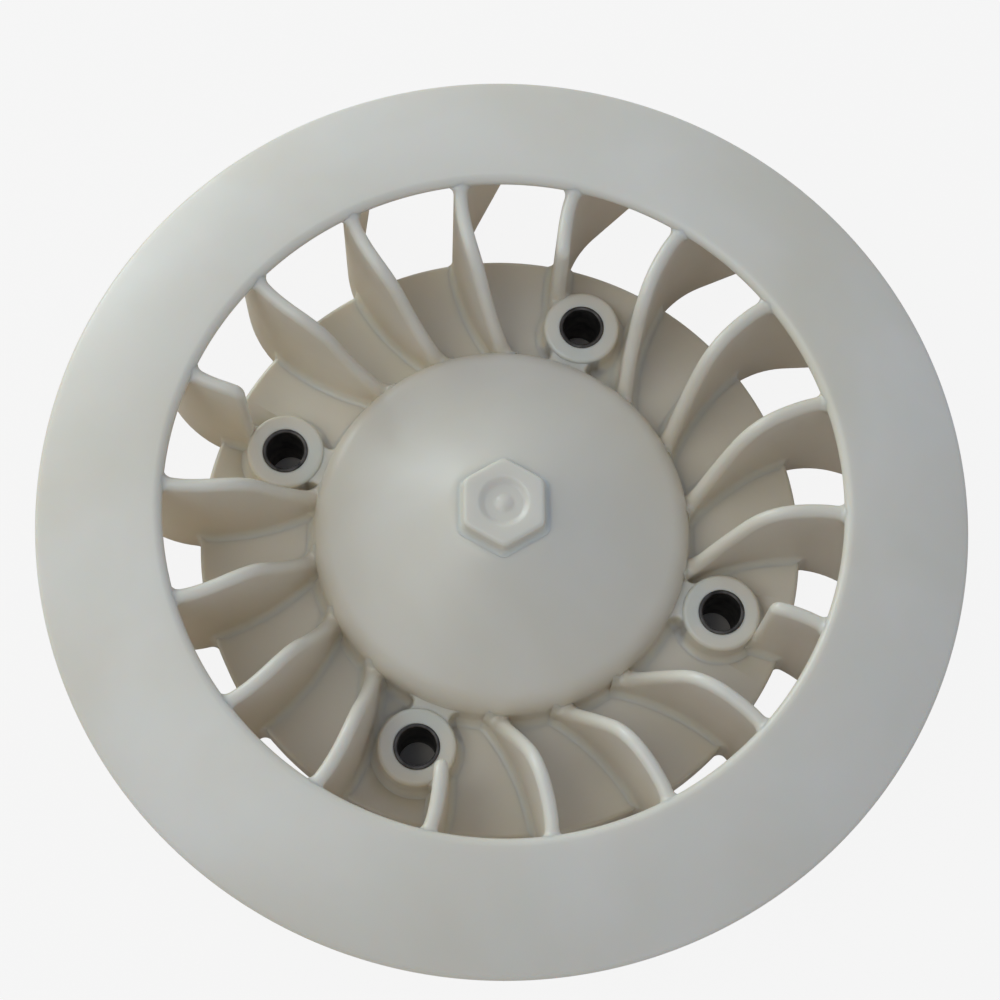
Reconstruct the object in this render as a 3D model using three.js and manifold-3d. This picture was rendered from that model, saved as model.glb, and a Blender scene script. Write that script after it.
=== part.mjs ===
// Shrouded radial cooling fan of a small air-cooled engine, in millimetres.
//
// The origin is the centre of the plane that seats on the flywheel. +Z runs along
// the spin axis towards the air intake. Angles are measured clockwise from +Y as
// seen from the intake, so a place at radius r and angle a is (r sin a, r cos a).
import * as THREE from 'three';
import { mergeVertices } from 'three/addons/utils/BufferGeometryUtils.js';
import Module from 'manifold-3d';

const wasm = await Module();
wasm.setup();

// Driving dimensions
const GAP = 0.3; // clearance between neighbouring sub-parts
const RUNNING_CLEARANCE = 0.8; // plastic stays this far above the seat plane
const FACETS = 72; // round a full turn, a multiple of the blade count

const FAN_RADIUS = 74;
const LIP_RADIUS = 53.4; // air intake
const SHROUD_THICKNESS = 2.5;
const LIP_Z = 33; // middle of the rounded intake lip
const EDGE_Z = 28; // middle of the rounded outer edge
const SHROUD_BULGE = 0.6; // how far the cone swells forward of straight

const HUB_RADIUS = 50.1;
const FLOOR_Z = 8.4; // front face of the hub floor
const FLOOR_THICKNESS = 3;
const SKIRT_THICKNESS = 2.5;
const RIB_COUNT = 12;
const RIB_THICKNESS = 1.8;
const RIB_REAR_Z = 1.8;

const DOME_RADIUS = 31;
const SHOULDER_Z = 16.4; // where the dome's cone would meet its wall
const DOME_TOP_Z = 27.3;
const DOME_TOP_RADIUS = 8;
const DOME_THICKNESS = 2.8;

const STUB_FLATS = 13; // across the flats of the six-sided stub
const STUB_HEIGHT = 3;
const STUB_CORNER = 1.6;
const STUB_BEVEL = 0.4;
const DIMPLE_RADIUS = 3.8;
const DIMPLE_DEPTH = 0.7;

const BLADE_COUNT = 18;
const FIRST_BLADE = 12.4; // degrees
const BLADE_THICKNESS = 2.2;
const BLADE_TIP_RADIUS = 71.4;
const BLADE_VERTEX_RADIUS = 50.2; // where the blade's camber line runs radially
const INNER_CAMBER = 38; // camber radius from the vertex in to the hub
const OUTER_CAMBER = 18; // camber radius from the vertex out
const TIP_LEAN = 35; // degrees, of the straight tip past the outer camber
const BLADE_FRONT_Z = 33.1; // front edge beside the intake lip
const BLADE_ROOT_Z = 12; // front edge at the dome wall
const FRONT_SLOPE = 2.2; // rise of the front edge per radius, from the dome wall
const FRONT_ROUNDING = 8;

const BOLT_COUNT = 4;
const FIRST_BOLT = 21.1; // degrees
const BOLT_CIRCLE_RADIUS = 38.5;
const BOSS_RADIUS = 6.4;
const BOSS_TOP_Z = 13.5;
const SLEEVE_RADIUS = 3.75;
const SLEEVE_BORE_RADIUS = 3.1;
const SLEEVE_PROUD = 0.2; // the steel stands this far out of the plastic

const radians = THREE.MathUtils.degToRad;

// Materials
const nylon = (color) => () =>
  new THREE.MeshStandardMaterial({ color, roughness: 0.38, metalness: 0 });
const shroudNylon = nylon(0xb9bfbe);
const hubNylon = nylon(0xb0b3b1);
const bladeNylon = nylon(0xa9a498);
const sleeveSteel = () =>
  new THREE.MeshStandardMaterial({ color: 0x4a4640, roughness: 0.45, metalness: 0.9 });

// Solids, and the step between them and buffer geometries
function toSolid(geometry) {
  const bare = geometry.clone();
  bare.deleteAttribute('normal');
  bare.deleteAttribute('uv');
  const merged = mergeVertices(bare, 1e-4);
  return new wasm.Manifold(new wasm.Mesh({
    numProp: 3,
    vertProperties: merged.attributes.position.array,
    triVerts: new Uint32Array(merged.index.array),
  }));
}

function toGeometry(solid) {
  const { vertProperties, triVerts } = solid.getMesh();
  const indexed = new THREE.BufferGeometry();
  indexed.setAttribute('position', new THREE.BufferAttribute(vertProperties, 3));
  indexed.setIndex(new THREE.BufferAttribute(triVerts, 1));
  const geometry = indexed.toNonIndexed();
  geometry.computeVertexNormals();
  return geometry;
}

// An outline from corners [x, y, fillet radius], with each fillet as short chords.
function rounded(corners, chords = 4) {
  const points = [];
  corners.forEach(([x, y, radius = 0], i) => {
    const corner = new THREE.Vector2(x, y);
    if (!radius) {
      points.push(corner);
      return;
    }
    const [before, after] = [i - 1, i + 1].map((j) => {
      const [nx, ny] = corners.at(j % corners.length);
      return new THREE.Vector2(nx, ny).sub(corner).normalize();
    });
    const half = Math.acos(THREE.MathUtils.clamp(before.dot(after), -1, 1)) / 2;
    const reach = radius / Math.tan(half);
    const start = before.clone().multiplyScalar(reach).add(corner);
    const end = after.clone().multiplyScalar(reach).add(corner);
    const centre = before.clone().add(after).normalize()
      .multiplyScalar(radius / Math.sin(half)).add(corner);
    const from = start.clone().sub(centre);
    const to = end.clone().sub(centre);
    const turn = Math.atan2(from.cross(to), from.dot(to));
    for (let k = 0; k <= chords; k += 1) {
      points.push(from.clone().rotateAround(new THREE.Vector2(), turn * k / chords).add(centre));
    }
  });
  return points;
}

// A closed outline of (radius, z) points, counter-clockwise, turned about Z.
function revolve(outline, facets = FACETS) {
  const profile = [...outline, outline[0]];
  return new THREE.LatheGeometry(profile, facets).rotateX(Math.PI / 2);
}

function tube(innerRadius, outerRadius, lowZ, highZ, frontRounding) {
  return revolve(rounded([
    [innerRadius, lowZ],
    [outerRadius, lowZ],
    [outerRadius, highZ, frontRounding],
    [innerRadius, highZ],
  ], 2), 32);
}

const cylinder = (radius, lowZ, highZ, facets = 40) =>
  new THREE.CylinderGeometry(radius, radius, highZ - lowZ, facets)
    .rotateX(Math.PI / 2)
    .translate(0, 0, (lowZ + highZ) / 2);

const placeAt = (radius, degrees) =>
  new THREE.Vector3(radius * Math.sin(radians(degrees)), radius * Math.cos(radians(degrees)), 0);

// The shroud's section: a strip of even thickness with round ends, along a swelling cone.
function shroudSection(halfThickness) {
  const inner = new THREE.Vector2(LIP_RADIUS + SHROUD_THICKNESS / 2, LIP_Z);
  const outer = new THREE.Vector2(FAN_RADIUS - SHROUD_THICKNESS / 2, EDGE_Z);
  const along = outer.clone().sub(inner).normalize();
  const swell = new THREE.Vector2(-along.y, along.x).multiplyScalar(2 * SHROUD_BULGE);
  const middle = inner.clone().add(outer).multiplyScalar(0.5).add(swell);
  const camber = new THREE.QuadraticBezierCurve(inner, middle, outer);
  const steps = 4;
  const capSteps = 4;
  const offset = (t, turn) => {
    const out = camber.getTangent(t).rotateAround(new THREE.Vector2(), turn);
    return camber.getPoint(t).addScaledVector(out, halfThickness);
  };
  const points = [];
  for (let i = 0; i <= steps; i += 1) points.push(offset(i / steps, -Math.PI / 2));
  for (let i = 1; i < capSteps; i += 1) {
    points.push(offset(1, Math.PI * (i / capSteps - 0.5)));
  }
  for (let i = steps; i >= 0; i -= 1) points.push(offset(i / steps, Math.PI / 2));
  for (let i = 1; i < capSteps; i += 1) {
    points.push(offset(0, Math.PI * (i / capSteps + 0.5)));
  }
  return points;
}

const shroudRing = () => revolve(shroudSection(SHROUD_THICKNESS / 2));

// The dome: a flat tip, a shallow cone, a soft shoulder and a wall, open behind.
function hubDome() {
  const t = DOME_THICKNESS;
  return revolve(rounded([
    [0, DOME_TOP_Z - t],
    [DOME_TOP_RADIUS - 1, DOME_TOP_Z - t],
    [DOME_RADIUS - t, SHOULDER_Z - t, 3],
    [DOME_RADIUS - t, RUNNING_CLEARANCE],
    [DOME_RADIUS, RUNNING_CLEARANCE],
    [DOME_RADIUS, SHOULDER_Z, 5],
    [DOME_TOP_RADIUS, DOME_TOP_Z, 4],
    [0, DOME_TOP_Z],
  ], 3));
}

// The floor round the dome, with a rim skirt and ribs behind and a hole for each boss.
function hubFlange() {
  const innerRadius = DOME_RADIUS + GAP;
  const floorRear = FLOOR_Z - FLOOR_THICKNESS;
  const skirtInner = HUB_RADIUS - SKIRT_THICKNESS;
  let solid = toSolid(revolve(rounded([
    [innerRadius, floorRear],
    [skirtInner, floorRear, 1],
    [skirtInner, RUNNING_CLEARANCE],
    [HUB_RADIUS, RUNNING_CLEARANCE],
    [HUB_RADIUS, FLOOR_Z, 0.8],
    [innerRadius, FLOOR_Z],
  ], 1)));
  const overlap = 1;
  const ribLength = skirtInner - innerRadius + overlap;
  for (let i = 0; i < RIB_COUNT; i += 1) {
    const rib = new THREE.BoxGeometry(RIB_THICKNESS, ribLength, floorRear - RIB_REAR_Z + overlap)
      .translate(0, innerRadius + ribLength / 2, (floorRear + RIB_REAR_Z + overlap) / 2)
      .rotateZ(-radians(FIRST_BOLT + 360 * i / RIB_COUNT));
    solid = solid.add(toSolid(rib));
  }
  for (let i = 0; i < BOLT_COUNT; i += 1) {
    const { x, y } = placeAt(BOLT_CIRCLE_RADIUS, FIRST_BOLT + 360 * i / BOLT_COUNT);
    const hole = cylinder(BOSS_RADIUS + GAP, -1, FLOOR_Z + 1).translate(x, y, 0);
    solid = solid.subtract(toSolid(hole));
  }
  return toGeometry(solid);
}

// The stub on the tip: a hexagon with a corner towards +Y and a dimple in its face.
function centreStub() {
  const corners = [];
  for (let i = 0; i < 6; i += 1) {
    const { x, y } = placeAt(STUB_FLATS / Math.sqrt(3), -60 * i);
    corners.push([x, y, STUB_CORNER]);
  }
  const block = new THREE.ExtrudeGeometry(new THREE.Shape(rounded(corners, 3)), {
    depth: STUB_HEIGHT - 2 * STUB_BEVEL,
    bevelThickness: STUB_BEVEL,
    bevelSize: STUB_BEVEL,
    bevelOffset: -STUB_BEVEL,
    bevelSegments: 2,
  }).translate(0, 0, STUB_BEVEL);
  const dimple = cylinder(DIMPLE_RADIUS, STUB_HEIGHT - DIMPLE_DEPTH, STUB_HEIGHT + 1);
  const solid = toSolid(block).subtract(toSolid(dimple));
  return toGeometry(solid).translate(0, 0, DOME_TOP_Z + GAP);
}

// The blade's plan, radial along +Y, with its tip leaning clockwise towards +X.
function bladePlan() {
  const half = BLADE_THICKNESS / 2;
  const hubSweep = radians(36); // far enough to reach inside the dome wall
  const lean = radians(TIP_LEAN);
  const tip = new THREE.Vector2(
    OUTER_CAMBER * (1 - Math.cos(lean)),
    BLADE_VERTEX_RADIUS + OUTER_CAMBER * Math.sin(lean),
  );
  const tipDirection = new THREE.Vector2(Math.sin(lean), Math.cos(lean));
  const beyond = tip.clone().addScaledVector(tipDirection, 20);
  const side = new THREE.Vector2(tipDirection.y, -tipDirection.x).multiplyScalar(half);
  const y = BLADE_VERTEX_RADIUS;
  const convex = new THREE.Path()
    .absarc(INNER_CAMBER, y, INNER_CAMBER + half, Math.PI + hubSweep, Math.PI, true)
    .absarc(OUTER_CAMBER, y, OUTER_CAMBER + half, Math.PI, Math.PI - lean, true);
  const concave = new THREE.Path()
    .absarc(OUTER_CAMBER, y, OUTER_CAMBER - half, Math.PI - lean, Math.PI, false)
    .absarc(INNER_CAMBER, y, INNER_CAMBER - half, Math.PI, Math.PI + hubSweep, false);
  return new THREE.Shape([
    ...convex.getPoints(3),
    beyond.clone().sub(side),
    beyond.clone().add(side),
    ...concave.getPoints(3),
  ]);
}

// The ring-shaped space that the blades stand in, from the dome wall to their tips.
function bladeSpace() {
  const rootRadius = DOME_RADIUS + GAP;
  const rearStep = HUB_RADIUS + GAP;
  const bendRadius = rootRadius + (BLADE_FRONT_Z - BLADE_ROOT_Z) / FRONT_SLOPE;
  return revolve(rounded([
    [rootRadius, FLOOR_Z + GAP],
    [rearStep, FLOOR_Z + GAP],
    [rearStep, RUNNING_CLEARANCE],
    [BLADE_TIP_RADIUS, RUNNING_CLEARANCE],
    [BLADE_TIP_RADIUS, EDGE_Z],
    [LIP_RADIUS + SHROUD_THICKNESS / 2, LIP_Z],
    [LIP_RADIUS, BLADE_FRONT_Z],
    [bendRadius, BLADE_FRONT_Z, FRONT_ROUNDING],
    [rootRadius, BLADE_ROOT_Z],
  ], 5));
}

const bladePlanSolid = toSolid(new THREE.ExtrudeGeometry(bladePlan(), {
  depth: LIP_Z + SHROUD_THICKNESS,
  bevelEnabled: false,
}));
const shroudClearance = toSolid(revolve(shroudSection(SHROUD_THICKNESS / 2 + GAP)));
const wholeBlade = bladePlanSolid
  .intersect(toSolid(bladeSpace()))
  .subtract(shroudClearance);

// The blade at an angle, stopped short where a bolt boss stands in its way.
function blade(angle) {
  let solid = wholeBlade;
  for (let i = 0; i < BOLT_COUNT; i += 1) {
    const bossAngle = FIRST_BOLT + 360 * i / BOLT_COUNT - angle;
    const { x, y } = placeAt(BOLT_CIRCLE_RADIUS, bossAngle);
    const reach = BOSS_RADIUS + GAP;
    const inTheWay = y > 0 && Math.abs(x) < reach;
    if (inTheWay) {
      const boss = cylinder(reach, 0, LIP_Z + SHROUD_THICKNESS).translate(x, y, 0);
      const inward = new THREE.BoxGeometry(4 * reach, y, LIP_Z + SHROUD_THICKNESS)
        .translate(x, y / 2, (LIP_Z + SHROUD_THICKNESS) / 2);
      solid = solid.subtract(toSolid(boss)).subtract(toSolid(inward));
    }
  }
  return toGeometry(solid);
}

const boltBoss = () =>
  tube(SLEEVE_RADIUS + GAP, BOSS_RADIUS, SLEEVE_PROUD, BOSS_TOP_Z, 0.6);

const bossSleeve = () =>
  tube(SLEEVE_BORE_RADIUS, SLEEVE_RADIUS, 0, BOSS_TOP_Z + SLEEVE_PROUD, 0);

// The assembly
const fan = new THREE.Group();

function addPiece(name, geometry, material) {
  const piece = new THREE.Mesh(geometry, material);
  piece.name = name;
  fan.add(piece);
  return piece;
}

addPiece('shroud_ring', shroudRing(), shroudNylon());
addPiece('hub_dome', hubDome(), hubNylon());
addPiece('hub_flange', hubFlange(), hubNylon());
addPiece('centre_stub', centreStub(), hubNylon());

for (let i = 0; i < BLADE_COUNT; i += 1) {
  const angle = FIRST_BLADE + 360 * i / BLADE_COUNT;
  const name = `blade_${String(i + 1).padStart(2, '0')}`;
  addPiece(name, blade(angle), bladeNylon()).rotation.z = -radians(angle);
}

for (let i = 0; i < BOLT_COUNT; i += 1) {
  const place = placeAt(BOLT_CIRCLE_RADIUS, FIRST_BOLT + 360 * i / BOLT_COUNT);
  addPiece(`bolt_boss_${i + 1}`, boltBoss(), hubNylon()).position.copy(place);
  addPiece(`boss_sleeve_${i + 1}`, bossSleeve(), sleeveSteel()).position.copy(place);
}

export default fan;
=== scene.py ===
import math

import bmesh
import bpy
import numpy as np
from mathutils import Matrix, Vector


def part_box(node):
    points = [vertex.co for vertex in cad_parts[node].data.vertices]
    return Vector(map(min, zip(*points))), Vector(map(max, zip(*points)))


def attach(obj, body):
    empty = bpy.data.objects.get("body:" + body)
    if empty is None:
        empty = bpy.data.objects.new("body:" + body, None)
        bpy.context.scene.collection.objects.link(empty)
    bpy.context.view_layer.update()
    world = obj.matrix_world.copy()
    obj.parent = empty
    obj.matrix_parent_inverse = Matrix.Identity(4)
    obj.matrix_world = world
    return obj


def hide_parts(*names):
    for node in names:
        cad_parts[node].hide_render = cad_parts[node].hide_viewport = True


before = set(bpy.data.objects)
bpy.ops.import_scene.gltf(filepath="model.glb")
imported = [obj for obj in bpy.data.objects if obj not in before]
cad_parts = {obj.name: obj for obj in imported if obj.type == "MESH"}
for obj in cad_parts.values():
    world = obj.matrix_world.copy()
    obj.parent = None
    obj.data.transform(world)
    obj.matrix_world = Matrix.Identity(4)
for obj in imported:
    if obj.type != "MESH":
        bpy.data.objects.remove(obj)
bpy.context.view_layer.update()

MM = 0.001


# ---------------------------------------------------------------- sizes, in millimetres

def node_points(node):
    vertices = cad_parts[node].data.vertices
    return np.array([v.co for v in vertices]) / MM


def node_radii(node):
    """Least and greatest distance of a node from the spin axis."""
    points = node_points(node)
    distance = np.hypot(points[:, 0], points[:, 1])
    return distance.min(), distance.max()


def node_heights(node):
    low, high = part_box(node)
    return low.z / MM, high.z / MM


LIP_RADIUS, FAN_RADIUS = node_radii("shroud_ring")
SHROUD_THICKNESS = 2.5
SHROUD_BULGE = 0.6
LIP_Z = node_heights("shroud_ring")[1] - SHROUD_THICKNESS / 2
EDGE_Z = node_heights("shroud_ring")[0] + SHROUD_THICKNESS / 2

HUB_RADIUS = node_radii("hub_flange")[1]
REAR_Z, FLOOR_Z = node_heights("hub_flange")
FLOOR_THICKNESS = 3.0
SKIRT_THICKNESS = 2.5
RIB_COUNT = 12
RIB_THICKNESS = 1.8
RIB_REAR_Z = 1.8

DOME_RADIUS = node_radii("hub_dome")[1]
DOME_TOP_Z = node_heights("hub_dome")[1]
DOME_TOP_RADIUS = 8.0
DOME_THICKNESS = 2.8
SHOULDER_Z = 16.4

STUB_TOP_Z = node_heights("centre_stub")[1]
STUB_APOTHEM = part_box("centre_stub")[1].x / MM
DIMPLE_RADIUS = 3.8
DIMPLE_DEPTH = 0.7

BLADE_COUNT = 18
FIRST_BLADE = 12.4
BLADE_THICKNESS = 2.2
BLADE_DRAFT = 0.3            # thicker by this much at the floor than at the front edge
BLADE_TIP_RADIUS = 71.4
BLADE_VERTEX_RADIUS = 50.2
INNER_CAMBER = 38.0
OUTER_CAMBER = 18.0
TIP_LEAN = math.radians(35)
BLADE_FRONT_Z = 33.1
BLADE_ROOT_Z = 12.0
FRONT_SLOPE = 2.2
FRONT_ROUNDING = 8.0
FILLET = 1.3                 # where blades meet the hub, the shroud and the bosses

BOLT_COUNT = 4
FIRST_BOLT = 21.1
BOSS_RADIUS = (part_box("bolt_boss_1")[1].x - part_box("bolt_boss_1")[0].x) / 2 / MM
BOSS_REAR_Z, BOSS_TOP_Z = node_heights("bolt_boss_1")
BOLT_CENTRE = sum(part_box("boss_sleeve_1"), Vector()) / 2 / MM
BOLT_CIRCLE_RADIUS = BOLT_CENTRE.xy.length
SLEEVE_RADIUS = (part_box("boss_sleeve_1")[1].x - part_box("boss_sleeve_1")[0].x) / 2 / MM
SLEEVE_REAR_Z, SLEEVE_TOP_Z = node_heights("boss_sleeve_1")
SLEEVE_BORE_RADIUS = 3.1


def place_at(radius, degrees):
    angle = math.radians(degrees)
    return np.array([radius * math.sin(angle), radius * math.cos(angle)])


# ---------------------------------------------------------------- outlines

def rounded(corners, chords=8, support=0.35):
    """An outline from corners (x, y, fillet radius), with a support point beside each fillet."""
    points = []
    for i, corner in enumerate(corners):
        here = np.array(corner[:2], float)
        radius = corner[2] if len(corner) > 2 else 0
        if not radius:
            points.append(here)
            continue
        before = np.array(corners[i - 1][:2], float) - here
        after = np.array(corners[(i + 1) % len(corners)][:2], float) - here
        before_length, after_length = np.hypot(*before), np.hypot(*after)
        before /= before_length
        after /= after_length
        half = math.acos(np.clip(before @ after, -1, 1)) / 2
        reach = radius / math.tan(half)
        middle = (before + after) / np.hypot(*(before + after))
        centre = here + middle * radius / math.sin(half)
        start, end = here + before * reach - centre, here + after * reach - centre
        turn = math.atan2(start[0] * end[1] - start[1] * end[0], start @ end)
        if before_length - reach > 2 * support:
            points.append(here + before * (reach + support))
        for k in range(chords + 1):
            c, s = math.cos(turn * k / chords), math.sin(turn * k / chords)
            points.append(centre + np.array([c * start[0] - s * start[1], s * start[0] + c * start[1]]))
        if after_length - reach > 2 * support:
            points.append(here + after * (reach + support))
    return np.array(points)


def distance_to(outline, points):
    """Distance of (..., 2) points from a closed outline, negative inside it."""
    start = outline
    along = np.roll(outline, -1, axis=0) - start
    length2 = np.maximum((along ** 2).sum(1), 1e-12)
    offset = points[..., None, :] - start
    t = np.clip((offset * along).sum(-1) / length2, 0, 1)
    gap = np.hypot(*np.moveaxis(offset - t[..., None] * along, -1, 0)).min(-1)
    end = start + along
    y = points[..., None, 1]
    crosses = (start[:, 1] > y) != (end[:, 1] > y)
    rise = np.where(np.abs(along[:, 1]) < 1e-12, 1e-12, along[:, 1])
    at_x = start[:, 0] + (y - start[:, 1]) / rise * along[:, 0]
    inside = (crosses & (points[..., None, 0] < at_x)).sum(-1) % 2 == 1
    return np.where(inside, -gap, gap)


def shroud_camber(t):
    """Middle of the shroud's section at t from the lip (0) to the outer edge (1), and its normal."""
    inner = np.array([LIP_RADIUS + SHROUD_THICKNESS / 2, LIP_Z])
    outer = np.array([FAN_RADIUS - SHROUD_THICKNESS / 2, EDGE_Z])
    along = (outer - inner) / np.hypot(*(outer - inner))
    middle = (inner + outer) / 2 + 2 * SHROUD_BULGE * np.array([-along[1], along[0]])
    point = (1 - t) ** 2 * inner + 2 * t * (1 - t) * middle + t ** 2 * outer
    tangent = 2 * (1 - t) * (middle - inner) + 2 * t * (outer - middle)
    tangent /= np.hypot(*tangent)
    return point, np.array([-tangent[1], tangent[0]])


def shroud_outline(steps=22, cap_steps=14):
    """The shroud's section, counter-clockwise: a strip of even thickness with round ends."""
    half = SHROUD_THICKNESS / 2
    points = []
    for i in range(steps + 1):
        point, normal = shroud_camber(i / steps)
        points.append(point - half * normal)
    for end, ts in ((1, range(steps, -1, -1)), (0, ())):
        point, normal = shroud_camber(end)
        outward = np.array([normal[1], -normal[0]]) * (1 if end else -1)
        first = -normal if end else normal
        for i in range(1, cap_steps):
            angle = math.pi * i / cap_steps
            points.append(point + half * (math.cos(angle) * first + math.sin(angle) * outward))
        for i in ts:
            point, normal = shroud_camber(i / steps)
            points.append(point + half * normal)
    return np.array(points)


SHROUD_OUTLINE = shroud_outline()

HUB_OUTLINE = rounded([
    (0, REAR_Z),
    (HUB_RADIUS, REAR_Z),
    (HUB_RADIUS, FLOOR_Z, 0.8),
    (DOME_RADIUS, FLOOR_Z, 1.5),
    (DOME_RADIUS, SHOULDER_Z, 5),
    (DOME_TOP_RADIUS, DOME_TOP_Z, 6),
    (0, DOME_TOP_Z),
])

# a boss in its own (radius, z) half plane
BOSS_BLOCK = rounded([
    (0, REAR_Z),
    (BOSS_RADIUS, REAR_Z),
    (BOSS_RADIUS, BOSS_TOP_Z, 0.7),
    (0, BOSS_TOP_Z),
])


# ---------------------------------------------------------------- meshes

def new_piece(name, points, faces, sharp_degrees=38):
    """A smooth-shaded mesh object from points in millimetres."""
    mesh = bpy.data.meshes.new(name)
    mesh.from_pydata([tuple(p) for p in np.asarray(points) * MM], [], faces)
    work = bmesh.new()
    work.from_mesh(mesh)
    bmesh.ops.remove_doubles(work, verts=work.verts, dist=1e-3 * MM)
    bmesh.ops.dissolve_degenerate(work, dist=1e-4 * MM, edges=work.edges)
    bmesh.ops.recalc_face_normals(work, faces=work.faces)
    work.to_mesh(mesh)
    work.free()
    mesh.shade_smooth()
    mesh.set_sharp_from_angle(angle=math.radians(sharp_degrees))
    piece = bpy.data.objects.new(name, mesh)
    bpy.context.scene.collection.objects.link(piece)
    return piece


def lathe(outline, segments):
    """Points and faces of a closed (radius, z) outline turned about the spin axis."""
    angles = 2 * np.pi * np.arange(segments) / segments
    radius, z = outline[:, 0], outline[:, 1]
    points = np.stack([
        np.sin(angles)[:, None] * radius,
        np.cos(angles)[:, None] * radius,
        np.broadcast_to(z, (segments, len(z))),
    ], -1).reshape(-1, 3)
    count = len(outline)
    faces = []
    for i in range(segments):
        here, there = i * count, (i + 1) % segments * count
        for j in range(count):
            k = (j + 1) % count
            faces.append((here + j, there + j, there + k, here + k))
    return points, faces


def two_sided(middle, normal, halves, cells):
    """Points and faces of a closed sheet. middle and normal are (rows, columns, 3) grids, halves
    is how far each side stands from the middle, and cells says which quads of the grid exist."""
    ahead, behind = halves
    rows, columns = ahead.shape
    points = np.concatenate([
        (middle + normal * ahead[..., None]).reshape(-1, 3),
        (middle - normal * behind[..., None]).reshape(-1, 3),
    ])
    back = rows * columns
    faces = []

    def exists(i, j):
        return 0 <= i < rows - 1 and 0 <= j < columns - 1 and cells[i, j]

    for i in range(rows - 1):
        for j in range(columns - 1):
            if not cells[i, j]:
                continue
            a, b = i * columns + j, (i + 1) * columns + j
            c, d = b + 1, a + 1
            faces.append((a, b, c, d))
            faces.append((d + back, c + back, b + back, a + back))
            for (p, q), (ni, nj) in (((a, b), (i, j - 1)), ((b, c), (i + 1, j)),
                                     ((c, d), (i, j + 1)), ((d, a), (i - 1, j))):
                if not exists(ni, nj):
                    faces.append((q, p, p + back, q + back))
    return points, faces


def joined(parts):
    """Several (points, faces) as one."""
    points, faces, count = [], [], 0
    for more_points, more_faces in parts:
        points.append(np.asarray(more_points))
        faces += [tuple(v + count for v in face) for face in more_faces]
        count += len(more_points)
    return np.concatenate(points), faces


def cut_holes(piece, places, radius, low_z, high_z):
    """Bores round holes through a piece, along the spin axis."""
    outline = np.array([(0, low_z), (radius, low_z), (radius, high_z), (0, high_z)])
    points, faces = lathe(outline, 48)
    drills = joined([(points + [x, y, 0], faces) for x, y in places])
    drill = new_piece("drill", *drills)
    cut = piece.modifiers.new("holes", "BOOLEAN")
    cut.object = drill
    cut.solver = "EXACT"
    bpy.context.view_layer.update()
    whole = piece.evaluated_get(bpy.context.evaluated_depsgraph_get())
    mesh = bpy.data.meshes.new_from_object(whole)
    piece.modifiers.clear()
    piece.data = mesh
    bpy.data.objects.remove(drill)


# ---------------------------------------------------------------- fillets and edges

def fillet_steps(radius):
    """Distances from a surface at which a fillet of that radius needs a grid line."""
    return [radius * (1 - math.cos(math.radians(a))) for a in (0, 14, 28, 42, 56, 72, 90)]


def flare(distance, radius=FILLET):
    """How much a fillet widens a wall that far from the surface it grows out of."""
    reach = np.clip(distance, 0, radius)
    return radius - np.sqrt(radius ** 2 - (radius - reach) ** 2)


def full_round(distance, half):
    """The half thickness that a wall keeps that far from a fully rounded free edge."""
    inward = 1 - np.clip(distance / half, 0, 1)
    return half * np.sqrt(1 - inward ** 2)


def corner_loss(distance, radius=0.3):
    """How much a small corner radius takes off a wall that far from a free edge."""
    inward = radius - np.clip(distance, 0, radius)
    return radius - np.sqrt(radius ** 2 - inward ** 2)


def blended(distances, radius):
    """Signed distance of a union of shapes whose inner corners are filled in."""
    inward = np.maximum(radius - np.array(distances), 0)
    soft = radius - np.sqrt((inward ** 2).sum(0))
    return np.where(inward.max(0) > 0, soft, np.min(distances, 0))


# ---------------------------------------------------------------- blades

def spine(s):
    """The blade's camber line in plan, radial along +Y, s millimetres out from its vertex,
    as points and normals."""
    inner = s / INNER_CAMBER
    outer = np.minimum(s, OUTER_CAMBER * TIP_LEAN) / OUTER_CAMBER
    turn = np.where(s < 0, inner, outer)
    camber = np.where(s < 0, INNER_CAMBER, OUTER_CAMBER)
    straight = np.maximum(s - OUTER_CAMBER * TIP_LEAN, 0)
    x = camber * (1 - np.cos(turn)) + straight * math.sin(TIP_LEAN)
    y = BLADE_VERTEX_RADIUS + camber * np.sin(turn) + straight * math.cos(TIP_LEAN)
    return np.stack([x, y], -1), np.stack([np.cos(turn), -np.sin(turn)], -1)


SPINE_S = np.linspace(-24, 30, 2000)
SPINE_POINTS = spine(SPINE_S)[0]
SPINE_RADII = np.hypot(*SPINE_POINTS.T)
FAR = 50


def front_corners():
    bend = DOME_RADIUS + (BLADE_FRONT_Z - BLADE_ROOT_Z) / FRONT_SLOPE
    foot = DOME_RADIUS - BLADE_ROOT_Z / FRONT_SLOPE
    return bend, foot


def whole_outline():
    """The (radius, z) region under the front edge of a blade that reaches the dome."""
    bend, foot = front_corners()
    return rounded([
        (FAN_RADIUS, -FAR),
        (FAN_RADIUS, BLADE_FRONT_Z),
        (bend, BLADE_FRONT_Z, FRONT_ROUNDING),
        (foot, 0),
        (foot, -FAR),
    ], chords=16)


def stopped_outline(buried, free):
    """The same for a blade stopped at a boss: buried in it up to near its top, free above."""
    whole = whole_outline()
    bend_end = whole[:, 0][np.abs(whole[:, 1] - BLADE_FRONT_Z) < 1e-6].min()
    line = whole[whole[:, 0].argsort()]
    corner_z = np.interp(free, line[:, 0], line[:, 1])
    return rounded([
        (FAN_RADIUS, -FAR),
        (FAN_RADIUS, BLADE_FRONT_Z),
        (max(bend_end, free + 3), BLADE_FRONT_Z, 6),
        (free, corner_z, 2.2),
        (free, BOSS_TOP_Z - 0.3),
        (buried, BOSS_TOP_Z - 1),
        (buried - FAR / 5, BOSS_TOP_Z - 1),
        (buried - FAR / 5, -FAR),
    ], chords=10)


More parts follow.
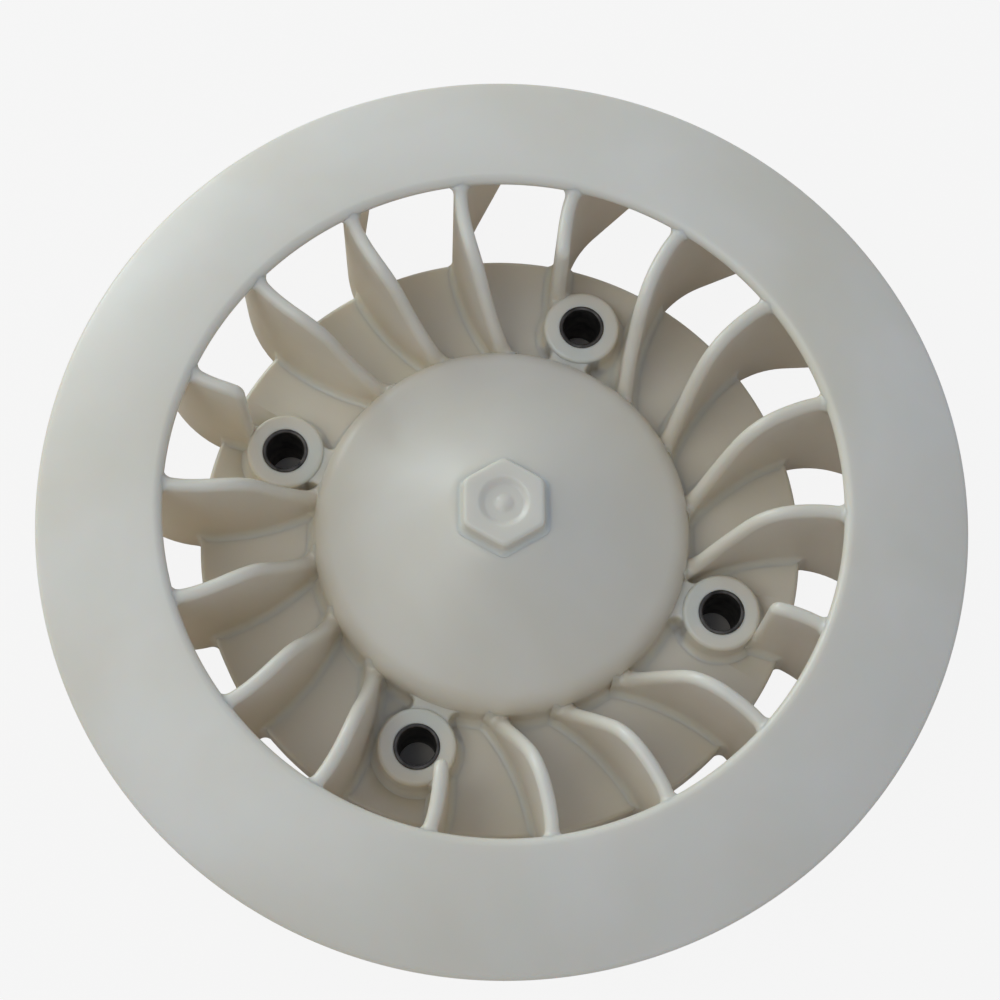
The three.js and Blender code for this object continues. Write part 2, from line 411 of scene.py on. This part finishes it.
def front_curve(outline, first):
    """The front edge as (radius, z) from radius first to where it runs out on the shroud's lip,
    with a fillet where it meets the dome and the lip."""
    last = LIP_RADIUS + 0.3
    near_dome = np.linspace(first, first + 3, 31)[:-1]
    near_lip = np.linspace(LIP_RADIUS - 2, last, 25)
    radii = np.concatenate([near_dome, np.linspace(first + 3, LIP_RADIUS - 2, 40)[:-1], near_lip])
    z = np.arange(FLOOR_Z, LIP_Z + 2, 0.05)
    section = np.stack(np.meshgrid(radii, z, indexing="ij"), -1)
    field = blended([distance_to(outline, section), distance_to(HUB_OUTLINE, section)], 1.1)
    field = blended([field, distance_to(SHROUD_OUTLINE, section)], 0.6)
    top = len(z) - 1 - np.argmax((field <= 0)[:, ::-1], axis=1)
    top = np.minimum(top, len(z) - 2)
    i = np.arange(len(radii))
    below, above = field[i, top], field[i, top + 1]
    return radii, z[top] + 0.05 * np.clip(below / (below - above + 1e-9), 0, 1)


def blade_columns(start):
    """Distances along the camber line for the blade's grid, from where its root is buried."""
    near = fillet_steps(FILLET)
    at_radius = [HUB_RADIUS - 1.2, *(HUB_RADIUS + d for d in near)]
    at_radius += [LIP_RADIUS - d for d in near] + [LIP_RADIUS + 0.12, LIP_RADIUS + 0.3]
    at_radius += [BLADE_TIP_RADIUS - d for d in (0, 0.04, 0.13, 0.3)]
    fixed = np.interp(at_radius, SPINE_RADII, SPINE_S)
    wanted = sorted([*start, *fixed[fixed > max(start) + 0.4]])
    columns = [wanted[0]]
    for s in wanted[1:]:
        gap = s - columns[-1]
        if gap < 0.015:
            continue
        pieces = max(1, round(gap / 1.25))
        columns += [columns[-1] + gap * (k + 1) / pieces for k in range(pieces)]
    return np.array(columns)


def blade_rows(radii, curve, stopped):
    """z of every grid line at each radius, from the rear edge to the front edge or the shroud."""
    shroud_middle = np.array([shroud_camber(t)[0] for t in np.linspace(0, 1, 12)])
    front = np.interp(radii, *curve)
    slope = np.gradient(curve[1]) / np.gradient(curve[0])
    stretch = np.hypot(1, np.clip(np.interp(radii, curve[0], slope), -2.4, 2.4))
    under = radii > LIP_RADIUS + 0.35
    front = np.where(under, np.interp(radii, *shroud_middle.T), front)
    front = np.where(radii < DOME_RADIUS - 0.5, front - 0.5, front)
    stretch = np.where(under, 1, stretch)
    low = [REAR_Z + d for d in (0, 0.04, 0.13, 0.3)] + [2.6, 4.2, 5.8, FLOOR_Z - 0.6]
    low += [FLOOR_Z + d for d in fillet_steps(FILLET)]
    if stopped:
        low += [BOSS_TOP_Z + d for d in (-1, -0.65, -0.3, 0, 0.35, 0.8, 1.4)]
    # the buried end is lifted, so that it doesn't lie in the same plane as the hub's rear rim
    lift = 0.5 * np.clip((HUB_RADIUS - 0.2 - radii) / 0.4, 0, 1)
    low = [z + lift if z < REAR_Z + 0.5 else np.full_like(radii, z) for z in low]
    turns = (90, 76, 62, 49, 37, 25, 13, 0)
    high = [front - 1.8 * (1 - math.cos(math.radians(a))) * stretch for a in turns]
    count = 11
    middle = [low[-1] + (high[0] - low[-1]) * k / count for k in range(1, count)]
    return np.array(low + middle + high)


def filleted(plan, outward, z, base, boss):
    """How far one side of a blade stands out, with fillets to the hub, the shroud and a boss."""
    low, high = base, base + FILLET
    for _ in range(9):
        half = (low + high) / 2
        side = plan + outward * half[..., None]
        section = np.stack([np.hypot(side[..., 0], side[..., 1]), z], -1)
        grown = flare(distance_to(HUB_OUTLINE, section)) + flare(distance_to(SHROUD_OUTLINE, section))
        if boss is not None:
            away = np.hypot(side[..., 0] - boss[0], side[..., 1] - boss[1])
            grown = np.maximum(grown, flare(distance_to(BOSS_BLOCK, np.stack([away, z], -1))))
        too_far = half > base + grown
        high = np.where(too_far, half, high)
        low = np.where(too_far, low, half)
    return (low + high) / 2


def whole_start():
    """Where the columns of a blade start at the dome, its free radius, its outline and that place."""
    first = DOME_RADIUS - 0.7
    roots = [first, DOME_RADIUS - 0.25, DOME_RADIUS - 0.08]
    roots += [DOME_RADIUS + d for d in fillet_steps(FILLET)]
    start = np.interp(roots, SPINE_RADII, SPINE_S)
    return start, first, whole_outline(), None


def stopped_start(boss):
    """The same for a blade that starts at a boss (x, y)."""
    beyond = SPINE_RADII > np.hypot(*boss) + 1
    away = np.hypot(*(SPINE_POINTS - boss).T) - BOSS_RADIUS
    start = np.interp([-0.8, 0, *fillet_steps(FILLET)[1:]], away[beyond], SPINE_S[beyond])
    buried, first = np.interp(start[:2], SPINE_S, SPINE_RADII)
    return np.delete(start, 1), first, stopped_outline(buried, first), start[1]


def free_edge_outline(outline, curve, first, stopped):
    """The region that a blade's free edges bound: its front, its tip and the end at a boss."""
    if stopped:
        closing = outline[outline[:, 0] <= first + 1e-6][::-1]
    else:
        closing = [(first - FAR, -FAR), (first - FAR, curve[1][0])]
    return np.concatenate([
        np.stack(curve, -1),
        [(curve[0][-1], FAR), (FAN_RADIUS + FAR, FAR), (FAN_RADIUS + FAR, -FAR)],
        closing,
    ])


def blade_grid(boss):
    """Points and faces of one blade, radial along +Y, stopped short at a boss (x, y) if there is one."""
    stopped = boss is not None
    start, first, outline, free_s = stopped_start(boss) if stopped else whole_start()
    curve = front_curve(outline, first + 1e-3)
    s = blade_columns(start)
    rows_at, _ = spine(np.maximum(s, free_s) if stopped else s)
    z = blade_rows(np.hypot(*rows_at.T), curve, stopped)
    s = np.broadcast_to(s, z.shape).copy()
    if stopped:
        leaving = np.clip((z[:, 0] - BOSS_TOP_Z + 1) / 0.7, 0, 1)
        s[:, 0] += (free_s - s[:, 0]) * leaving
    plan, plan_normal = spine(s)
    radii = np.hypot(plan[..., 0], plan[..., 1])

    free_edge = free_edge_outline(outline, curve, first, stopped)
    to_edge = np.maximum(-distance_to(free_edge, np.stack([radii, z], -1)), 0)
    base = (BLADE_THICKNESS + BLADE_DRAFT * (1 - (z - FLOOR_Z) / (BLADE_FRONT_Z - FLOOR_Z))) / 2
    worn = corner_loss(z - REAR_Z) + corner_loss(BLADE_TIP_RADIUS - radii)
    halves = []
    for side in (1, -1):
        half = filleted(plan, side * plan_normal, z, base, boss)
        halves.append(np.maximum(full_round(to_edge, half) - worn, 0))

    cells = np.ones((len(z) - 1, z.shape[1] - 1), bool)
    over_floor = radii[0, :-1] < HUB_RADIUS - 1.3
    below_floor = z[:-1, 0] < FLOOR_Z - 0.7
    cells[np.ix_(below_floor, over_floor)] = False
    middle = np.concatenate([plan, z[..., None]], -1)
    normal = np.concatenate([plan_normal, np.zeros((*z.shape, 1))], -1)
    return two_sided(middle, normal, halves, cells)


def turned(points, degrees):
    """Points turned clockwise about the spin axis."""
    angle = math.radians(degrees)
    c, s = math.cos(angle), math.sin(angle)
    x, y, z = np.asarray(points).T
    return np.stack([c * x + s * y, -s * x + c * y, z], -1)


def boss_in_the_way(angle):
    """The boss that a blade at this angle runs into, in the blade's own plan, or None."""
    for k in range(BOLT_COUNT):
        boss = place_at(BOLT_CIRCLE_RADIUS, FIRST_BOLT + 360 * k / BOLT_COUNT - angle)
        if boss[1] > 0 and abs(boss[0]) < BOSS_RADIUS:
            return boss
    return None


BLADE_SHAPES = {}


def make_blade(number):
    """Blades of one kind share one shape, turned to its place."""
    angle = FIRST_BLADE + 360 * (number - 1) / BLADE_COUNT
    boss = boss_in_the_way(angle)
    kind = None if boss is None else tuple(boss.round(3))
    if kind not in BLADE_SHAPES:
        BLADE_SHAPES[kind] = blade_grid(boss)
    points, faces = BLADE_SHAPES[kind]
    return new_piece(f"moulded_blade_{number:02d}", turned(points, angle), faces)


# ---------------------------------------------------------------- shroud, hub, bosses

def make_shroud():
    points, faces = lathe(SHROUD_OUTLINE, 540)
    return new_piece("moulded_shroud_ring", points, faces)


def make_dome():
    t = DOME_THICKNESS
    outline = rounded([
        (0, DOME_TOP_Z - t),
        (DOME_TOP_RADIUS - 1, DOME_TOP_Z - t, 5),
        (DOME_RADIUS - t, SHOULDER_Z - t, 3),
        (DOME_RADIUS - t, REAR_Z, 0.4),
        (DOME_RADIUS, REAR_Z, 0.4),
        (DOME_RADIUS, FLOOR_Z - 0.6),
        (DOME_RADIUS + 1.5, FLOOR_Z - 0.6),
        (DOME_RADIUS + 1.5, FLOOR_Z),
    ])
    wall = rounded([
        (DOME_RADIUS + 5, FLOOR_Z),
        (DOME_RADIUS, FLOOR_Z, 1.5),
        (DOME_RADIUS, SHOULDER_Z, 5),
        (DOME_TOP_RADIUS, DOME_TOP_Z, 6),
        (0, DOME_TOP_Z),
    ])
    points, faces = lathe(np.concatenate([outline[:-1], wall[2:]]), 288)
    return new_piece("moulded_hub_dome", points, faces)


def rear_rib():
    """One rib behind the floor, along +Y, from the dome wall to the skirt."""
    near = fillet_steps(0.8)
    inner, outer = DOME_RADIUS, HUB_RADIUS - SKIRT_THICKNESS
    top = FLOOR_Z - FLOOR_THICKNESS
    y = np.array([inner - 0.6, *(inner + d for d in near), *np.linspace(inner + 2, outer - 2, 8),
                  *(outer - d for d in reversed(near)), outer + 0.6])
    z = np.array([RIB_REAR_Z, RIB_REAR_Z + 0.1, RIB_REAR_Z + 0.3, 2.8,
                  *(top - d for d in reversed(near)), top + 0.6])
    grid_z, grid_y = np.meshgrid(z, y, indexing="ij")
    half = RIB_THICKNESS / 2 + flare(grid_y - inner, 0.8) + flare(outer - grid_y, 0.8)
    half = half + flare(top - grid_z, 0.8) - corner_loss(grid_z - RIB_REAR_Z)
    middle = np.stack([np.zeros_like(grid_y), grid_y, grid_z], -1)
    normal = np.broadcast_to([1.0, 0, 0], middle.shape)
    return two_sided(middle, normal, (half, half), np.ones((len(z) - 1, len(y) - 1), bool))


def make_flange():
    rear = FLOOR_Z - FLOOR_THICKNESS
    skirt = HUB_RADIUS - SKIRT_THICKNESS
    outline = rounded([
        (DOME_RADIUS - 0.8, rear),
        (skirt, rear, 1),
        (skirt, REAR_Z, 0.4),
        (HUB_RADIUS, REAR_Z, 0.4),
        (HUB_RADIUS, FLOOR_Z, 0.8),
        (DOME_RADIUS - 0.8, FLOOR_Z),
    ])
    piece = new_piece("moulded_hub_flange", *lathe(outline, 288))
    places = [place_at(BOLT_CIRCLE_RADIUS, FIRST_BOLT + 360 * k / BOLT_COUNT)
              for k in range(BOLT_COUNT)]
    cut_holes(piece, places, BOSS_RADIUS - 0.7, REAR_Z, FLOOR_Z + 2)
    ribs = []
    for i in range(RIB_COUNT):
        if i % (RIB_COUNT // BOLT_COUNT):
            points, faces = rear_rib()
            ribs.append((turned(points, FIRST_BOLT + 360 * i / RIB_COUNT), faces))
    ribbed = new_piece("ribs", *joined(ribs))
    with bpy.context.temp_override(active_object=piece, selected_editable_objects=[piece, ribbed]):
        bpy.ops.object.join()
    return piece


def web_to_dome():
    """The short web, along +Y from the dome wall to a boss. Its sides are the round fillet that
    nestles between the two."""
    fillet = 1.5
    to_boss = BOSS_RADIUS + fillet
    to_dome = DOME_RADIUS + fillet
    centre_y = (to_dome ** 2 - to_boss ** 2 + BOLT_CIRCLE_RADIUS ** 2) / (2 * BOLT_CIRCLE_RADIUS)
    centre_x = math.sqrt(to_dome ** 2 - centre_y ** 2)
    y = np.array([-2.2, -1.45, -1.2, -0.9, -0.6, -0.3, 0, 0.3, 0.6, 0.9, 1.2, 1.45, 2.2])
    top = BOSS_TOP_Z - 0.6
    z = np.array([FLOOR_Z - 0.6, *(FLOOR_Z + d for d in fillet_steps(FILLET)), 11,
                  *(top - d for d in (0.6, 0.4, 0.2, 0.08, 0))])
    grid_z, grid_y = np.meshgrid(z, y, indexing="ij")
    half = centre_x - np.sqrt(np.maximum(fillet ** 2 - grid_y ** 2, 0))
    half = half + flare(grid_z - FLOOR_Z) - corner_loss(top - grid_z, 0.6)
    middle = np.stack([np.zeros_like(grid_y), centre_y + grid_y, grid_z], -1)
    normal = np.broadcast_to([1.0, 0, 0], middle.shape)
    return two_sided(middle, normal, (half, half), np.ones((len(z) - 1, len(y) - 1), bool))


def boss_outline():
    """A boss's section, from its bore round the rear end, the fillets and the front end."""
    bore = SLEEVE_RADIUS - 0.05
    floor_rear = FLOOR_Z - FLOOR_THICKNESS
    inside = [(bore, BOSS_REAR_Z, 0.25), (BOSS_RADIUS, BOSS_REAR_Z, 0.4)]
    rear = [(BOSS_RADIUS + flare(d, 0.8), floor_rear - d) for d in reversed(fillet_steps(0.8))]
    buried = [(BOSS_RADIUS + 0.8, floor_rear + 0.4), (BOSS_RADIUS + FILLET, FLOOR_Z - 0.4)]
    front = [(BOSS_RADIUS + flare(d), FLOOR_Z + d) for d in fillet_steps(FILLET)]
    lip = [(BOSS_RADIUS, BOSS_TOP_Z, 0.7), (bore, BOSS_TOP_Z, 0.25)]
    return rounded([*inside, *rear, *buried, *front, *lip], chords=5, support=0.25)


def make_boss(number):
    angle = FIRST_BOLT + 360 * (number - 1) / BOLT_COUNT
    x, y = place_at(BOLT_CIRCLE_RADIUS, angle)
    points, faces = lathe(boss_outline(), 72)
    web_points, web_faces = web_to_dome()
    parts = [(points + [x, y, 0], faces), (turned(web_points, angle), web_faces)]
    return new_piece(f"moulded_bolt_boss_{number}", *joined(parts))


def make_sleeve(number):
    x, y = place_at(BOLT_CIRCLE_RADIUS, FIRST_BOLT + 360 * (number - 1) / BOLT_COUNT)
    outline = rounded([
        (SLEEVE_BORE_RADIUS, SLEEVE_REAR_Z, 0.3),
        (SLEEVE_RADIUS, SLEEVE_REAR_Z, 0.2),
        (SLEEVE_RADIUS, SLEEVE_TOP_Z, 0.2),
        (SLEEVE_BORE_RADIUS, SLEEVE_TOP_Z, 0.3),
    ], chords=4, support=0.15)
    points, faces = lathe(outline, 64)
    return new_piece(f"steel_sleeve_{number}", points + [x, y, 0], faces)


# ---------------------------------------------------------------- centre stub

def hexagon_radius(angles, apothem, sharpness):
    """Radius of a hexagon with soft corners, one of them towards +Y."""
    flats = np.radians(30 + 60 * np.arange(6))
    across = np.maximum(np.cos(angles[:, None] - flats), 0)
    return apothem * (across ** sharpness).sum(1) ** (-1 / sharpness)


def make_stub():
    """Rings of points from the fillet at the stub's foot to the middle of its dimple."""
    segments = 144
    angles = 2 * np.pi * np.arange(segments) / segments
    foot = 0.9
    rings = [(STUB_APOTHEM + flare(d, foot), DOME_TOP_Z + d, 1) for d in fillet_steps(foot)]
    rings.insert(0, (STUB_APOTHEM + foot, DOME_TOP_Z - 0.4, 1))
    edge = 0.7
    for a in (0, 15, 30, 45, 60, 75, 90):
        angle = math.radians(a)
        rings.append((STUB_APOTHEM - edge * (1 - math.cos(angle)),
                      STUB_TOP_Z - edge * (1 - math.sin(angle)), 1))
    rings.append((STUB_APOTHEM - edge - 0.3, STUB_TOP_Z, 0.9))
    for k in range(9):
        t = k / 8
        depth = DIMPLE_DEPTH * (0.5 - 0.5 * math.cos(math.pi * t))
        rings.append((DIMPLE_RADIUS + 0.5 - 1.4 * t, STUB_TOP_Z - depth, 0))
    pip_radius, pip_height = 1.3, 0.45
    rings.append((pip_radius + 0.5, STUB_TOP_Z - DIMPLE_DEPTH, 0))
    for k in range(6):
        t = k / 5
        rise = pip_height * math.sin(math.pi / 2 * t)
        rings.append((pip_radius + 0.2 - (pip_radius + 0.1) * t, STUB_TOP_Z - DIMPLE_DEPTH + rise, 0))
    points, faces = [], []
    for apothem, z, six_sided in rings:
        radius = six_sided * hexagon_radius(angles, apothem, 22) + (1 - six_sided) * apothem
        points.append(np.stack([radius * np.sin(angles), radius * np.cos(angles),
                                np.full(segments, z)], -1))
    for i in range(len(rings) - 1):
        for j in range(segments):
            k = (j + 1) % segments
            faces.append((i * segments + j, i * segments + k, (i + 1) * segments + k, (i + 1) * segments + j))
    faces.append(tuple(range(segments)))
    faces.append(tuple((len(rings) - 1) * segments + j for j in range(segments)))
    return new_piece("moulded_centre_stub", np.concatenate(points), faces)


# ---------------------------------------------------------------- materials

def shader(name, base, roughness):
    material = bpy.data.materials.new(name)
    material.use_nodes = True
    nodes, links = material.node_tree.nodes, material.node_tree.links
    surface = nodes["Principled BSDF"]
    surface.inputs["Base Color"].default_value = (*base, 1)
    surface.inputs["Roughness"].default_value = roughness
    return material, nodes, links, surface


def noise(nodes, links, coordinates, scale, detail, distortion=0.0):
    texture = nodes.new("ShaderNodeTexNoise")
    texture.inputs["Scale"].default_value = scale
    texture.inputs["Detail"].default_value = detail
    texture.inputs["Distortion"].default_value = distortion
    links.new(coordinates, texture.inputs["Vector"])
    return texture.outputs["Fac"]


def ramp(nodes, links, factor, stops):
    made = nodes.new("ShaderNodeValToRGB")
    elements = made.color_ramp.elements
    while len(elements) < len(stops):
        elements.new(0.5)
    for element, (position, colour) in zip(elements, stops):
        element.position = position
        element.color = (*colour, 1)
    links.new(factor, made.inputs["Fac"])
    return made.outputs["Color"]


def nylon(name, light, dark):
    """Natural moulded nylon: milky, a little uneven in tone and gloss."""
    material, nodes, links, surface = shader(name, light, 0.36)
    place = nodes.new("ShaderNodeTexCoord").outputs["Object"]
    cloud = noise(nodes, links, place, 28, 3, 0.4)
    links.new(ramp(nodes, links, cloud, [(0.3, dark), (0.7, light)]), surface.inputs["Base Color"])
    sheen = noise(nodes, links, place, 90, 4)
    spread = nodes.new("ShaderNodeMapRange")
    spread.inputs["To Min"].default_value = 0.28
    spread.inputs["To Max"].default_value = 0.44
    links.new(sheen, spread.inputs["Value"])
    links.new(spread.outputs["Result"], surface.inputs["Roughness"])
    grain = noise(nodes, links, place, 1400, 2)
    bump = nodes.new("ShaderNodeBump")
    bump.inputs["Strength"].default_value = 0.08
    bump.inputs["Distance"].default_value = 0.0001
    links.new(grain, bump.inputs["Height"])
    links.new(bump.outputs["Normal"], surface.inputs["Normal"])
    surface.inputs["IOR"].default_value = 1.53
    surface.inputs["Subsurface Weight"].default_value = 0.5
    surface.inputs["Subsurface Radius"].default_value = (1.0, 0.75, 0.5)
    surface.inputs["Subsurface Scale"].default_value = 0.002
    return material


def sleeve_steel():
    """Dull oiled steel with faint turning marks."""
    material, nodes, links, surface = shader("sleeve_steel", (0.09, 0.08, 0.07), 0.5)
    surface.inputs["Metallic"].default_value = 0.85
    place = nodes.new("ShaderNodeTexCoord").outputs["Object"]
    tone = noise(nodes, links, place, 500, 4)
    links.new(ramp(nodes, links, tone, [(0.3, (0.04, 0.035, 0.03)), (0.7, (0.16, 0.14, 0.12))]),
              surface.inputs["Base Color"])
    bump = nodes.new("ShaderNodeBump")
    bump.inputs["Strength"].default_value = 0.2
    bump.inputs["Distance"].default_value = 0.0001
    links.new(tone, bump.inputs["Height"])
    links.new(bump.outputs["Normal"], surface.inputs["Normal"])
    return material


# ---------------------------------------------------------------- assembly

NYLON_LIGHT = (0.83, 0.74, 0.59)
NYLON_DARK = (0.77, 0.67, 0.50)
NYLON = nylon("natural_nylon", NYLON_LIGHT, NYLON_DARK)
STEEL = sleeve_steel()


def add(piece, node, material):
    piece.data.materials.clear()
    piece.data.materials.append(material)
    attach(piece, "root")
    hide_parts(node)


add(make_shroud(), "shroud_ring", NYLON)
add(make_dome(), "hub_dome", NYLON)
add(make_flange(), "hub_flange", NYLON)
add(make_stub(), "centre_stub", NYLON)
for number in range(1, BLADE_COUNT + 1):
    add(make_blade(number), f"blade_{number:02d}", NYLON)
for number in range(1, BOLT_COUNT + 1):
    add(make_boss(number), f"bolt_boss_{number}", NYLON)
    add(make_sleeve(number), f"boss_sleeve_{number}", STEEL)


# ---------------------------------------------------------------- camera, floor and light

CAMERA_PLACE = (-0.00903, -0.09945, 0.36398)
CAMERA_TILT = math.radians(16.64)
CAMERA_ROLL = math.radians(-1.38)
CAMERA_LENS = 79.5
SENSOR_WIDTH = 36

ROOM_COLOUR = (0.61, 0.74, 1.0, 1)
ROOM_STRENGTH = 0.56
LAMP_PLACE = (-0.44, -0.16, 0.87)
LAMP_SIZE = 0.65
LAMP_POWER = 1.9
LAMP_COLOUR = (0.92, 0.98, 1.0)
WINDOW_PLACE = (-0.66, 0.70, 0.27)
WINDOW_SIZE = 0.60
WINDOW_POWER = 4.1
WINDOW_COLOUR = (0.80, 0.93, 1.0)
ORIGIN = (0, 0, 0)


def make_camera():
    """The camera that lines up with the reference view."""
    data = bpy.data.cameras.new("camera")
    data.sensor_width = SENSOR_WIDTH
    data.lens = CAMERA_LENS
    data.clip_start, data.clip_end = 0.01, 20
    camera = bpy.data.objects.new("camera", data)
    bpy.context.scene.collection.objects.link(camera)
    turn = Matrix.Rotation(CAMERA_TILT, 4, "X") @ Matrix.Rotation(CAMERA_ROLL, 4, "Y")
    camera.matrix_world = Matrix.Translation(CAMERA_PLACE) @ turn
    bpy.context.scene.camera = camera


def make_floor():
    size = 3.0
    mesh = bpy.data.meshes.new("floor")
    corners = [(-size, -size, 0), (size, -size, 0), (size, size, 0), (-size, size, 0)]
    mesh.from_pydata(corners, [], [(0, 1, 2, 3)])
    floor = bpy.data.objects.new("floor", mesh)
    bpy.context.scene.collection.objects.link(floor)
    floor.location.z = -0.0003
    material, nodes, links, surface = shader("floor", (0.84, 0.73, 0.60), 0.9)
    # to the camera the open floor is near white, and only the floor right under the hub is dark
    glow = nodes.new("ShaderNodeEmission")
    glow.inputs["Color"].default_value = (0.935, 0.935, 0.935, 1)
    mix = nodes.new("ShaderNodeMixShader")
    path = nodes.new("ShaderNodeLightPath")
    place = nodes.new("ShaderNodeTexCoord").outputs["Object"]
    length = nodes.new("ShaderNodeVectorMath")
    length.operation = "LENGTH"
    links.new(place, length.inputs[0])
    open_floor = nodes.new("ShaderNodeMapRange")
    open_floor.inputs["From Min"].default_value = (HUB_RADIUS - 3) * MM
    open_floor.inputs["From Max"].default_value = HUB_RADIUS * MM
    open_floor.inputs["To Max"].default_value = 0.96
    links.new(length.outputs["Value"], open_floor.inputs["Value"])
    share = nodes.new("ShaderNodeMath")
    share.operation = "MULTIPLY"
    links.new(path.outputs["Is Camera Ray"], share.inputs[0])
    links.new(open_floor.outputs["Result"], share.inputs[1])
    links.new(share.outputs[0], mix.inputs["Fac"])
    links.new(surface.outputs["BSDF"], mix.inputs[1])
    links.new(glow.outputs["Emission"], mix.inputs[2])
    links.new(mix.outputs["Shader"], nodes["Material Output"].inputs["Surface"])
    mesh.materials.append(material)


def area_light(name, place, aim, size, power, colour=(1, 1, 1)):
    data = bpy.data.lights.new(name, "AREA")
    data.shape = "DISK"
    data.size = size
    data.energy = power
    data.color = colour
    light = bpy.data.objects.new(name, data)
    bpy.context.scene.collection.objects.link(light)
    light.location = place
    direction = Vector(aim) - Vector(place)
    light.rotation_euler = direction.to_track_quat("-Z", "Y").to_euler()


def make_lights():
    """A pale blue room, a soft lamp up on the left and a low window beyond the top left."""
    world = bpy.data.worlds.new("studio")
    bpy.context.scene.world = world
    world.use_nodes = True
    sky = world.node_tree.nodes["Background"]
    sky.inputs["Color"].default_value = ROOM_COLOUR
    sky.inputs["Strength"].default_value = ROOM_STRENGTH
    area_light("near_lamp", LAMP_PLACE, ORIGIN, LAMP_SIZE, LAMP_POWER, LAMP_COLOUR)
    area_light("far_window", WINDOW_PLACE, ORIGIN, WINDOW_SIZE, WINDOW_POWER, WINDOW_COLOUR)


make_camera()
make_floor()
make_lights()
bpy.context.scene.view_settings.view_transform = "Standard"
